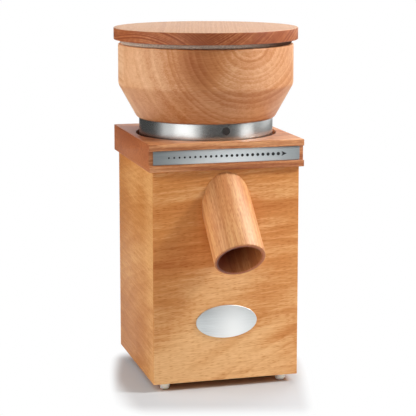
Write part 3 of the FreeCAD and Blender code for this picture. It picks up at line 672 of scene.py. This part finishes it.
def make_materials():
    """All finishes, by name."""
    finishes = {
        "front": beech(
            "front_beech", (1, 0, 0.08), (0, 0, 1), (0.05, 0.09, 0.10), tone(250, 201, 142),
            tone(184, 100, 38), line=(1, 0.1, 0.18), ring=5 * MM, ring_share=0.2, tone_share=0.3,
            wander=10 * MM, cloud_share=0.12, dash_share=0.16, streak_share=0.08, band_width=20 * MM,
            shine=0.25, fleck_share=0.22, tint=(0.95, 0.9, 0.86, 1),
            patches=(
                # Painted light and shade: darker at the left middle and the upper right, paler at the foot.
                ((-0.06, CASE_LOW.y, 0.14), (0.07, 1, 0.09), 0.28),
                ((0.07, CASE_LOW.y, 0.18), (0.05, 1, 0.07), 0.1),
                ((-0.02, CASE_LOW.y, 0.012), (0.14, 1, 0.1), -0.38),
            ),
        ),
        "side": beech(
            "side_beech", (0, 1, 0.04), (0, 0, 1), (0.2, 0.05, 0.02), tone(222, 166, 105),
            tone(170, 98, 41), line=(0.1, 1, -0.06), ring=5 * MM, ring_share=0.12, tone_share=0.2,
            wander=9 * MM, cloud_share=0.1, dash_share=0.14, streak_share=0.08, band_width=20 * MM,
            shine=0.04, fleck_share=0.15, tint=(0.95, 0.9, 0.86, 1),
            patches=(
                # Painted highlight along the front edge; darker towards the back.
                ((0, CASE_LOW.y, 0.12), (1, 0.05, 1), -0.3),
                ((0, CASE_HIGH.y, 0.12), (1, 0.08, 1), 0.2),
            ),
        ),
        "back": beech(
            "back_beech", (1, 0, 0), (0, 0, 1), (0.1, 0.3, 0.2), tone(240, 179, 120), tone(184, 102, 48),
            ring=5 * MM, ring_share=0.12, tone_share=0.25, wander=9 * MM, cloud_share=0.14, dash_share=0.18,
            streak_share=0.1, band_width=20 * MM, fleck_share=0.1, tint=(0.95, 0.9, 0.86, 1),
        ),
        "head": beech(
            "head_beech", (1, 0, 0), (0, 0, 1), (0, -0.03, 0.12), tone(232, 170, 118), tone(154, 84, 44),
            ring=3 * MM, ring_share=0.2, tone_share=0.3, wander=3 * MM, cloud_share=0.15, dash_share=0.22,
            streak_share=0.25, fleck_share=0.25, tint=(0.80, 0.62, 0.50, 1),
            patches=(
                # Painted shade on the top's left, where the hopper's shadow falls; painted light on the
                # left face's foot.
                ((HEAD_LOW.x, 0.03, HEAD_HIGH.z), (0.045, 0.12, 0.018), 0.8),
                ((HEAD_LOW.x, -0.03, HEAD_LOW.z), (0.02, 0.12, 0.02), -0.5),
                # Lighter along the top of the front, darker along its foot.
                ((0, HEAD_LOW.y, HEAD_HIGH.z), (0.16, 0.02, 0.009), -0.35),
                ((0, HEAD_LOW.y, HEAD_LOW.z), (0.16, 0.02, 0.012), 0.2),
            ),
        ),
        "spout": beech(
            "spout_beech", SPOUT_AXIS, (1, 0, 0), MOUTH + Vector((0.06, 0, -0.05)), tone(243, 189, 126),
            tone(188, 106, 52), ring=3 * MM, ring_share=0.12, tone_share=0.12, wander=2 * MM,
            cloud_share=0.05, band_width=8 * MM, fleck_share=0.3, dash_share=0.22, streak_share=0.16,
            tint=(0.6, 0.42, 0.27, 1), roughness=0.5, shine=0.7,
            # Painted shade in the bore: warm near the mouth on its right, dark deep in and on its upper
            # left.
            core=(
                MOUTH, SPOUT_AXIS, SPOUT_CORE, SPOUT_AXIS + Vector((-1.5, 0, 0.5)), 38 * MM,
                (1.0, 0.80, 0.60, 1), (0.25, 0.075, 0.025, 1),
            ),
        ),
        "hopper": beech(
            "hopper_beech", RIGHT, RIGHT, RIGHT * 0.045 + UP * (BOWL_HIGH.z + 7 * MM), tone(243, 197, 155),
            tone(158, 82, 34), line=SIGHT, ring=5.8 * MM, ring_share=0.2, ring_reach=70 * MM,
            tone_share=0.2, wander=3 * MM, cloud_share=0.03, dash_share=0.1, streak_share=0.04,
            seams=((GLUE_LINE, -0.030, RIGHT * 0.16 + UP * 0.10, -0.1),), fleck_share=0.1,
            # tint with pale_way darkens the cone, which faces down: painted shade.
            tint=(0.86, 0.76, 0.65, 1), pale_way=(UP, -0.1, -0.4, 1.0),
            patches=(
                # Painted shade down the front middle, and a painted sheen on the left.
                (RIGHT * -0.008 - SIGHT * HOPPER_RADIUS + UP * 0.345, (0.04, 1, 0.05), 0.4),
                (RIGHT * -0.065 - SIGHT * HOPPER_RADIUS + UP * 0.335, (0.05, 1, 0.06), -0.12),
            ),
        ),
        "lid": beech(
            "lid_beech", SIGHT, RIGHT, RIGHT * -0.07 + UP * (LID_HIGH.z - 0.083), tone(210, 163, 122),
            tone(150, 88, 52), ring=2.2 * MM, ring_share=1.2, tone_share=0.3, wander=1.5 * MM,
            # The side and underside are tinted darker than the top: partly oiled end grain, partly painted
            # shade.
            tint=(0.86, 0.58, 0.41, 1), pale_way=(UP, 0.8, 0.3, 0.2), cloud_share=0.1,
            seams=((RIGHT, 0.002, RIGHT * -0.024 - UP * 0.189, 0.0),), fleck_share=0.12, dash_share=0.15,
            streak_share=0.15,
        ),
        "inner": beech(
            "inner_beech", (1, 0, 0), (0, 0, 1), (0, 0.2, -0.2), tone(220, 176, 130), tone(186, 134, 90),
            roughness=0.7,
        ),
        "ring": brushed("ring_steel", (0.56, 0.57, 0.56, 1), 0.28, (0, 0, 0), 0.06),
        # The scale plate and the plaque carry a painted highlight band along X.
        "scale": brushed(
            "scale_steel", (0.26, 0.29, 0.30, 1), 0.45, (1, 0, 0), metallic=0.6,
            painted_gleam=(0.88, 0.94, 0.96, 1), reach=(4 * MM, 88 * MM),
        ),
        "plaque": brushed(
            "plaque_steel", (0.66, 0.70, 0.71, 1), 0.42, (1, 0, 0), metallic=0.7,
            painted_gleam=(0.90, 0.93, 0.93, 1), reach=(8 * MM, 34 * MM),
        ),
        "bright": brushed("bright_steel", (0.62, 0.62, 0.62, 1), 0.25, (0, 0, 1)),
        # The felt's last colour is painted shade for its right end, under the lid.
        "felt": felt("grey_felt", tone(234, 217, 200), tone(150, 130, 114), (0.17, 0.09, 0.055, 1)),
        "stone": stone("millstone", tone(196, 190, 178)),
        "grey": moulded("grey_plastic", tone(66, 67, 70), 0.5),
        "black": moulded("black_plastic", tone(34, 34, 35), 0.4),
        "dot": moulded("dot_black", tone(26, 24, 23), 0.6),
        "ink": moulded("scale_ink", tone(14, 16, 18), 0.8),
        "white": moulded("white_plastic", tone(246, 242, 235), 0.35),
        "rubber": moulded("black_rubber", tone(30, 30, 30), 0.75),
        "aluminium": cast("cast_aluminium", (0.58, 0.59, 0.60, 1)),
        "sheet": cast("sheet_steel", (0.12, 0.13, 0.16, 1), 0.5),
        "screw": cast("screw_steel", (0.55, 0.55, 0.53, 1), 0.35),
        "copper": wire_wound("copper_wire", (0.60, 0.22, 0.09, 1)),
    }
    white = finishes["white"].node_tree.nodes["Principled BSDF"]
    white.inputs["Subsurface Weight"].default_value = 0.2
    return finishes


NODE_FINISH = {
    "feed_tube": "inner", "corner_blocks": "inner", "base_board": "inner", "setting_dot": "dot",
    "finger_guard": "bright", "drive_keys": "screw", "grinding_chamber": "grey", "flour_sweeper": "grey",
    "upper_stone_holder": "grey", "lower_stone": "stone", "upper_stone": "stone", "shaft_seal": "rubber",
    "stone_carrier": "aluminium", "upper_end_bell": "aluminium", "lower_end_bell": "aluminium",
    "rotor_core": "sheet", "stator_core": "sheet", "motor_windings": "copper", "motor_shaft": "bright",
    "upper_bearing": "bright", "lower_bearing": "bright", "motor_bolts": "screw", "centre_screw": "screw",
    "capacitor": "white", "capacitor_clip": "screw", "terminal_block": "white", "cooling_fan": "black",
    "switch_frame": "black", "switch_rocker": "black", "cable_gland": "black", "gland_nut": "black",
}


def dress_nodes(finishes):
    """Give the nodes that stay their finishes."""
    for node, finish in NODE_FINISH.items():
        mesh = frame["nodes"][node].data
        mesh.materials.clear()
        mesh.materials.append(finishes[finish])


def case_block(name):
    """The whole case with its rounded outer edges and its hollow."""
    block = boxed(name, CASE_LOW, CASE_HIGH)
    soften(block, CASE_EDGE)
    wall = Vector((PANEL_THICKNESS, PANEL_THICKNESS, -PANEL_CUT_PAST))
    cut_with(block, boxed("hollow", CASE_LOW + wall, CASE_HIGH - wall))
    return block


def make_panels(finishes):
    """Four panels, parted along the mitres."""
    sides = (
        ("left_panel", (-1, 0), ((-1, -1), (-1, 1)), "side", "side_beech"),
        ("right_panel", (1, 0), ((1, -1), (1, 1)), "side", "side_beech"),
        ("front_panel", (0, -1), ((-1, -1), (1, -1)), "front", "front_beech"),
        ("back_panel", (0, 1), ((-1, 1), (1, 1)), "back", "side_beech"),
    )
    for node, outward, corners, finish, slot in sides:
        panel = case_block("wooden_" + node)
        for sx, sy in corners:
            diagonal = Vector((-sy, sx, 0))
            if diagonal.dot(Vector((*outward, 0))) > 0:
                diagonal.negate()
            bisect(panel, Vector((CASE_HIGH.x * sx, CASE_HIGH.y * sy, 0)), diagonal)
        if node == "front_panel":
            hole = rod("hole", SPOUT_RADIUS + PANEL_CLEARANCE, MOUTH, SPOUT_AXIS, SPOUT_LENGTH)
            cut_with(panel, hole)
        if node == "back_panel":
            cut_back_panel(panel)
        shade(panel)
        finish_piece(panel, finishes[finish], "housing", slot, node)


def cut_back_panel(panel):
    """The holes for the switch and the cable gland."""
    low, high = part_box("switch_frame")
    edge = Vector((SWITCH_RIM, 0, SWITCH_RIM))
    cut_with(panel, boxed("switch_hole", low + edge, high - edge + Vector((0, PANEL_CUT_PAST, 0))))
    nut_low, nut_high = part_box("gland_nut")
    middle = (nut_low + nut_high) / 2
    cut_with(panel, rod("gland_hole", GLAND_HOLE, middle, (0, 1, 0), PANEL_THICKNESS * 3))


def make_head(finishes):
    """The head slab with its groove, well and hole."""
    slab = boxed("wooden_head", HEAD_LOW, HEAD_HIGH)
    middle = (HEAD_LOW.z + HEAD_HIGH.z) / 2
    past = HEAD_CUT_PAST
    groove_low = (HEAD_LOW.x - past, HEAD_LOW.y - past, middle - GROOVE_HEIGHT / 2)
    groove_high = (HEAD_HIGH.x + past, HEAD_LOW.y + GROOVE_DEPTH, middle + GROOVE_HEIGHT / 2)
    cut_with(slab, boxed("groove", groove_low, groove_high))
    well_floor = HEAD_HIGH.z - WELL_DEPTH
    cut_with(slab, rod("well", WELL_RADIUS, (0, 0, well_floor), UP, WELL_DEPTH + past, 160))
    cut_with(slab, rod("hole", CHAMBER_HOLE, (0, 0, HEAD_LOW.z - past), UP, CHAMBER_CUT, 128))
    soften(slab, HEAD_EDGE)
    shade(slab)
    finish_piece(slab, finishes["head"], "housing", "head_beech", "head_slab")


def make_scale(finishes):
    """The scale's plate, and its growing dots and arrow."""
    plate = boxed("scale_sheet", PLATE_LOW, PLATE_HIGH)
    soften(plate, PLATE_EDGE, 2)
    shade(plate)
    finish_piece(plate, finishes["scale"], "housing", "scale_steel", "scale_plate")
    middle = (PLATE_LOW.z + PLATE_HIGH.z) / 2
    marks = []
    for i in range(DOT_COUNT):
        share = i / (DOT_COUNT - 1)
        x = FIRST_DOT + share * (LAST_DOT - FIRST_DOT)
        radius = SMALLEST_DOT + share * (LARGEST_DOT - SMALLEST_DOT)
        marks.append(rod("dot", radius, (x, PLATE_LOW.y, middle), (0, -1, 0), MARK_THICKNESS, 20))
    marks.append(arrow(Vector((ARROW_PLACE, PLATE_LOW.y, middle))))
    sheet = joined("scale_marks", marks)
    shade(sheet)
    finish_piece(sheet, finishes["ink"], "housing", "black_plastic")


def arrow(place):
    """A barbed dart that points to the right, cut from a thin four-sided disc."""
    deselect()
    bpy.ops.mesh.primitive_cylinder_add(
        vertices=4, radius=0.5, depth=1, location=place - Vector((0, MARK_THICKNESS / 2, 0)),
        rotation=(math.pi / 2, 0, 0), scale=(ARROW_LENGTH, ARROW_WIDTH, MARK_THICKNESS),
    )
    piece = named("arrow")
    apply_place(piece)
    take(piece)
    bpy.ops.object.mode_set(mode="EDIT")
    select_part(piece, lambda spot: abs(spot.x - place.x) < ARROW_LENGTH / 4)
    bpy.ops.transform.translate(value=(-ARROW_LENGTH / 2, 0, 0))
    select_part(piece, lambda spot: spot.x < place.x and abs(spot.z - place.z) < ARROW_WIDTH / 4)
    bpy.ops.transform.translate(value=(ARROW_NOTCH, 0, 0))
    bpy.ops.object.mode_set(mode="OBJECT")
    return piece


def make_spout(finishes):
    """The oblique tube, sawn off flush inside the front panel and under the head."""
    rings = [
        (SPOUT_RADIUS, 0), (SPOUT_RADIUS, SPOUT_LENGTH), (SPOUT_FLARE, SPOUT_LENGTH),
        (SPOUT_BORE, SPOUT_LAND), (SPOUT_BORE, 0),
    ]
    tube = turned("wooden_spout", rings)
    round_ring(tube, SPOUT_RADIUS, 0, SPOUT_LIP)
    round_ring(tube, SPOUT_BORE, 0, SPOUT_LIP * 0.6)
    tube.matrix_world = Matrix.Translation(MOUTH) @ SPOUT_AXIS.to_track_quat("Z", "Y").to_matrix().to_4x4()
    apply_place(tube)
    inside = CASE_LOW.y + PANEL_THICKNESS
    low = MOUTH - Vector((SPOUT_ROOM, SPOUT_ROOM, SPOUT_ROOM))
    cut_with(tube, boxed("room", low, (SPOUT_ROOM, inside, HEAD_LOW.z)), "INTERSECT")
    shade(tube)
    finish_piece(tube, finishes["spout"], "housing", "spout_beech", "spout_tube")


def make_plaque(finishes):
    """The oval plaque, with a fine bevelled edge."""
    size = PLAQUE_HIGH - PLAQUE_LOW
    middle = (PLAQUE_LOW + PLAQUE_HIGH) / 2
    deselect()
    bpy.ops.mesh.primitive_cylinder_add(
        vertices=96, radius=0.5, depth=1, location=middle, rotation=(math.pi / 2, 0, 0),
        scale=(size.x, size.z, size.y),
    )
    plaque = named("steel_plaque")
    apply_place(plaque)
    soften(plaque, PLAQUE_EDGE)
    shade(plaque)
    finish_piece(plaque, finishes["plaque"], "housing", "plaque_steel", "oval_plaque")


def make_feet(finishes):
    """Four glides with rounded tips."""
    model = turned("foot", [(FOOT_RADIUS, 0), (FOOT_RADIUS, FEET_HIGH.z)], solid=True, segments=48)
    round_ring(model, FOOT_RADIUS, 0, FOOT_ROUNDING, 5)
    shade(model, 40)
    x, y = FEET_HIGH.x - FOOT_RADIUS, FEET_HIGH.y - FOOT_RADIUS
    for name, sx, sy in (
        ("front_left_foot", -1, -1), ("front_right_foot", 1, -1),
        ("back_left_foot", -1, 1), ("back_right_foot", 1, 1),
    ):
        foot = copied(model, name, (sx * x, sy * y, 0))
        finish_piece(foot, finishes["white"], "housing", "white_plastic", "feet")
    bpy.data.objects.remove(model)


def make_base_screws(finishes):
    """Four screw heads under the base board, each with its cross slot."""
    head = turned("base_screw", [(SCREW_HEAD, 0), (SCREW_HEAD, SCREW_HEAD_HEIGHT)], solid=True, segments=40)
    round_ring(head, SCREW_HEAD, 0, SCREW_HEAD_HEIGHT * 0.6)
    for wide, deep in ((SCREW_HEAD * 0.6, SCREW_SLOT / 2), (SCREW_SLOT / 2, SCREW_HEAD * 0.6)):
        cut_with(head, boxed("slot", (-wide, -deep, -SCREW_SLOT), (wide, deep, SCREW_SLOT)))
    shade(head)
    x = CASE_HIGH.x - PANEL_THICKNESS - BLOCK_SIDE / 2
    y = CASE_HIGH.y - PANEL_THICKNESS - BLOCK_SIDE / 2
    for number, (sx, sy) in enumerate(((-1, -1), (1, -1), (-1, 1), (1, 1)), 1):
        level = BASE_LOW.z - SCREW_HEAD_HEIGHT
        screw = copied(head, "base_screw_%d" % number, (sx * x, sy * y, level))
        finish_piece(screw, finishes["screw"], "housing", "screw_steel")
    bpy.data.objects.remove(head)


def make_ring(finishes):
    """The steel ring, with softened edges."""
    outer, inner = RING_HIGH.x, RING_HIGH.x - RING_THICKNESS
    rings = [(outer, RING_LOW.z), (outer, RING_HIGH.z), (inner, RING_HIGH.z), (inner, RING_LOW.z)]
    ring = turned("satin_ring", rings, segments=180)
    soften(ring, RING_EDGE, 2)
    shade(ring)
    finish_piece(ring, finishes["ring"], "hopper", "ring_steel", "steel_ring")


def make_hopper(finishes):
    """The turned hopper: spigot, cone, soft crease, upright wall, rounded rim and funnel."""
    spigot = RING_HIGH.x - RING_THICKNESS - SPIGOT_PLAY
    inner = HOPPER_RADIUS - HOPPER_WALL
    crease = RING_HIGH.z + CONE_HEIGHT
    rings = [
        (THROAT_RADIUS, BOWL_LOW.z), (spigot, BOWL_LOW.z), (spigot, RING_HIGH.z),
        (CONE_LOW_RADIUS, RING_HIGH.z), (HOPPER_RADIUS, crease), (HOPPER_RADIUS, BOWL_HIGH.z),
        (inner, BOWL_HIGH.z), (inner, FUNNEL_TOP), (THROAT_RADIUS, FUNNEL_FOOT),
    ]
    bowl = turned("wooden_hopper", rings, segments=180)
    round_ring(bowl, CONE_LOW_RADIUS, RING_HIGH.z, CONE_ROUNDING)
    round_ring(bowl, HOPPER_RADIUS, crease, CREASE_ROUNDING, 6)
    round_ring(bowl, HOPPER_RADIUS, BOWL_HIGH.z, RIM_ROUNDING)
    round_ring(bowl, inner, BOWL_HIGH.z, RIM_ROUNDING)
    round_ring(bowl, inner, FUNNEL_TOP, CREASE_ROUNDING)
    shade(bowl)
    finish_piece(bowl, finishes["hopper"], "hopper", "hopper_beech", "hopper_bowl")


def make_lid(finishes):
    """The lid's disc, its spigot and its felt."""
    radius = LID_HIGH.x
    disc = turned("wooden_lid", [(radius, LID_LOW.z), (radius, LID_HIGH.z)], solid=True, segments=180)
    round_ring(disc, radius, LID_LOW.z, LID_ROUNDING)
    round_ring(disc, radius, LID_HIGH.z, LID_ROUNDING)
    shade(disc)
    finish_piece(disc, finishes["lid"], "lid", "lid_beech", "lid_disc")
    radius = SPIGOT_HIGH.x
    spigot = turned("lid_centring", [(radius, SPIGOT_LOW.z), (radius, SPIGOT_HIGH.z)], solid=True)
    round_ring(spigot, radius, SPIGOT_LOW.z, LID_ROUNDING)
    shade(spigot)
    finish_piece(spigot, finishes["lid"], "lid", "lid_beech", "lid_spigot")
    outer, inner = SEAL_HIGH.x, SEAL_HIGH.x - SEAL_WIDTH
    rings = [(outer, SEAL_LOW.z), (outer, SEAL_HIGH.z), (inner, SEAL_HIGH.z), (inner, SEAL_LOW.z)]
    seal = turned("felt_seal", rings, segments=180)
    round_ring(seal, outer, SEAL_LOW.z, SEAL_LOWER_ROUNDING)
    round_ring(seal, outer, SEAL_HIGH.z, SEAL_UPPER_ROUNDING)
    shade(seal)
    finish_piece(seal, finishes["felt"], "lid", "grey_felt", "lid_seal")


def make_floor():
    """A plain white table with the mill's shadow and a painted contact shadow, melting into the white room.
    """
    deselect()
    bpy.ops.mesh.primitive_plane_add(size=FLOOR_SIZE, location=(0, 0, -TINY))
    floor = named("floor")
    made = Finish("white_floor", 0.9)
    # Painted contact shadow from ambient occlusion under and beside the case.
    near = made.add("AmbientOcclusion", {"Distance": CONTACT_SHADOW_REACH}).outputs["AO"]
    open_share = made.between(near, 0.0, 0.5)
    rays = made.add("LightPath")
    table = made.mix(rays.outputs["Is Camera Ray"], TABLE_TONE, SEEN_TABLE_TONE)
    made.set_surface("Base Color", made.mix(open_share, CONTACT_SHADOW_TONE, table))
    made.set_surface("Specular IOR Level", 0.0)
    axes = (RIGHT, SIGHT, Vector((1, 0, 0)))
    level = [made.vector("DOT_PRODUCT", made.place, tuple(axis)) for axis in axes]
    beside = made.vector("SUBTRACT", made.combined(*level, (1.0, 1.0, 1.0)), SHADOW_MIDDLE)
    beside = made.vector("SUBTRACT", made.vector("ABSOLUTE", beside), SHADOW_SIZE)
    beside = made.vector("DIVIDE", made.vector("MAXIMUM", beside), SHADOW_FADE)
    bare = made.between(made.length(beside), 0.0, 1.0)
    white = made.add("Emission", {"Strength": 1.0}).outputs[0]
    seen = made.add("MixShader", {0: bare, 1: made.surface.outputs[0], 2: white})
    table_share = made.between(made.length(made.place), TABLE_END, TABLE_EDGE)
    gloss = made.math("MULTIPLY", rays.outputs["Is Glossy Ray"], table_share)
    straight = made.math("MAXIMUM", rays.outputs["Is Camera Ray"], gloss)
    mixed = made.add("MixShader", {0: straight, 1: made.surface.outputs[0], 2: seen.outputs[0]})
    output = made.tree.nodes["Material Output"]
    made.tree.links.new(mixed.outputs[0], output.inputs["Surface"])
    floor.data.materials.append(made.material)


def from_mill(left_of_camera):
    """The level way from the mill at an angle from the camera, in degrees."""
    angle = math.radians(left_of_camera)
    return -(SIGHT * math.cos(angle) + RIGHT * math.sin(angle))


def soft_box(
    name, left_of_camera, distance, middle, width, height, power, aim=None, lights=True, gleams=True
):
    """A soft box, placed by its angle from the camera, its distance and the height of its middle.

    It points at a height on the mill's axis, its own if none is given. It lights the mill, shows in what
    gleams, or both."""
    place = from_mill(left_of_camera) * distance + UP * middle
    lamp = bpy.data.lights.new(name, "AREA")
    lamp.shape = "RECTANGLE"
    lamp.size, lamp.size_y = width, height
    lamp.energy = power
    holder = bpy.data.objects.new(name, lamp)
    bpy.context.scene.collection.objects.link(holder)
    holder.location = place
    target = UP * (middle if aim is None else aim)
    holder.rotation_euler = (target - place).to_track_quat("-Z", "Y").to_euler()
    holder.visible_camera = False
    holder.visible_diffuse = lights
    holder.visible_glossy = gleams


def dark_card(name, left_of_camera, distance, width):
    """A dark studio card on the table, which only shows in what gleams."""
    way = from_mill(left_of_camera)
    deselect()
    bpy.ops.mesh.primitive_plane_add(
        size=1, location=way * distance + UP * CARD_HEIGHT / 2,
        rotation=way.to_track_quat("Z", "Y").to_euler(), scale=(width, CARD_HEIGHT, 1),
    )
    card = named(name)
    card.data.materials.append(moulded(name, CARD_GREY, 0.9))
    card.visible_camera = False
    card.visible_diffuse = False
    card.visible_transmission = False
    card.visible_shadow = False


def make_light():
    """Soft studio light, and dark cards for the steel ring to show."""
    soft_box("left_box", 78, 1.15, 0.74, 0.8, 0.6, 9.5, aim=0.2, gleams=False)
    soft_box("front_box", 0, 1.5, 1.3, 0.9, 0.7, 3.0, aim=0.2)
    soft_box("key", -80, 1.1, 1.0, 0.26, 0.26, 14.4, aim=0.2)
    soft_box("back_box", -150, 0.8, 1.4, 0.7, 0.7, 7.0, aim=0.3)
    soft_box("left_shine", 42, 1.25, 0.35, 1.85, 0.7, 3.3, lights=False)
    soft_box("left_gleam", 36, 1.2, 0.35, 0.7, 0.7, 1.7, lights=False)
    soft_box("right_shine", -58, 0.95, 0.2, 0.9, 0.4, 1.8, lights=False)
    soft_box("spout_gleam", -97, 0.9, 1.0, 1.1, 0.9, 10.0, aim=0.2, lights=False)
    dark_card("right_card", -25, 0.75, 0.16)
    dark_card("left_card", 122, 0.75, 0.8)
    bpy.context.scene.view_settings.view_transform = "Standard"


def make_room():
    """A dim room that the camera sees as white, and what gleams sees as white behind the mill."""
    world = bpy.data.worlds.new("room")
    bpy.context.scene.world = world
    world.use_nodes = True
    made = Nodes(world.node_tree)
    dim = made.tree.nodes["Background"]
    made.feed(dim.inputs["Color"], WHITE)
    made.feed(dim.inputs["Strength"], ROOM_LIGHT)
    white = made.add("Background", {"Color": WHITE})
    rays = made.add("LightPath").outputs
    behind = made.vector("DOT_PRODUCT", made.add("TexCoord").outputs["Generated"], tuple(SIGHT))
    backdrop = made.add("MapRange", {"Value": behind, "From Min": 0.1, "From Max": 0.5}).outputs["Result"]
    gloss = made.math("MULTIPLY", backdrop, rays["Is Glossy Ray"])
    seen = made.math("MAXIMUM", rays["Is Camera Ray"], gloss)
    seen = made.math("MAXIMUM", seen, rays["Is Transmission Ray"])
    mixed = made.add("MixShader", {0: seen, 1: dim.outputs[0], 2: white.outputs[0]})
    made.feed(made.tree.nodes["World Output"].inputs["Surface"], mixed.outputs[0])


def make_camera():
    """The photograph's camera."""
    lens = bpy.data.cameras.new("camera")
    lens.lens = CAMERA_LENS
    lens.sensor_width = CAMERA_SENSOR
    lens.shift_x, lens.shift_y = CAMERA_SHIFT
    lens.clip_start, lens.clip_end = CAMERA_CLIP
    camera = bpy.data.objects.new("camera", lens)
    camera.location = CAMERA_PLACE
    camera.rotation_euler = (math.pi / 2 - CAMERA_PITCH, 0, -CAMERA_TURN)
    bpy.context.scene.collection.objects.link(camera)
    bpy.context.scene.camera = camera


make_camera()
finishes = make_materials()
dress_nodes(finishes)
make_panels(finishes)
make_head(finishes)
make_scale(finishes)
make_spout(finishes)
make_plaque(finishes)
make_feet(finishes)
make_base_screws(finishes)
make_ring(finishes)
make_hopper(finishes)
make_lid(finishes)
make_floor()
make_light()
make_room()
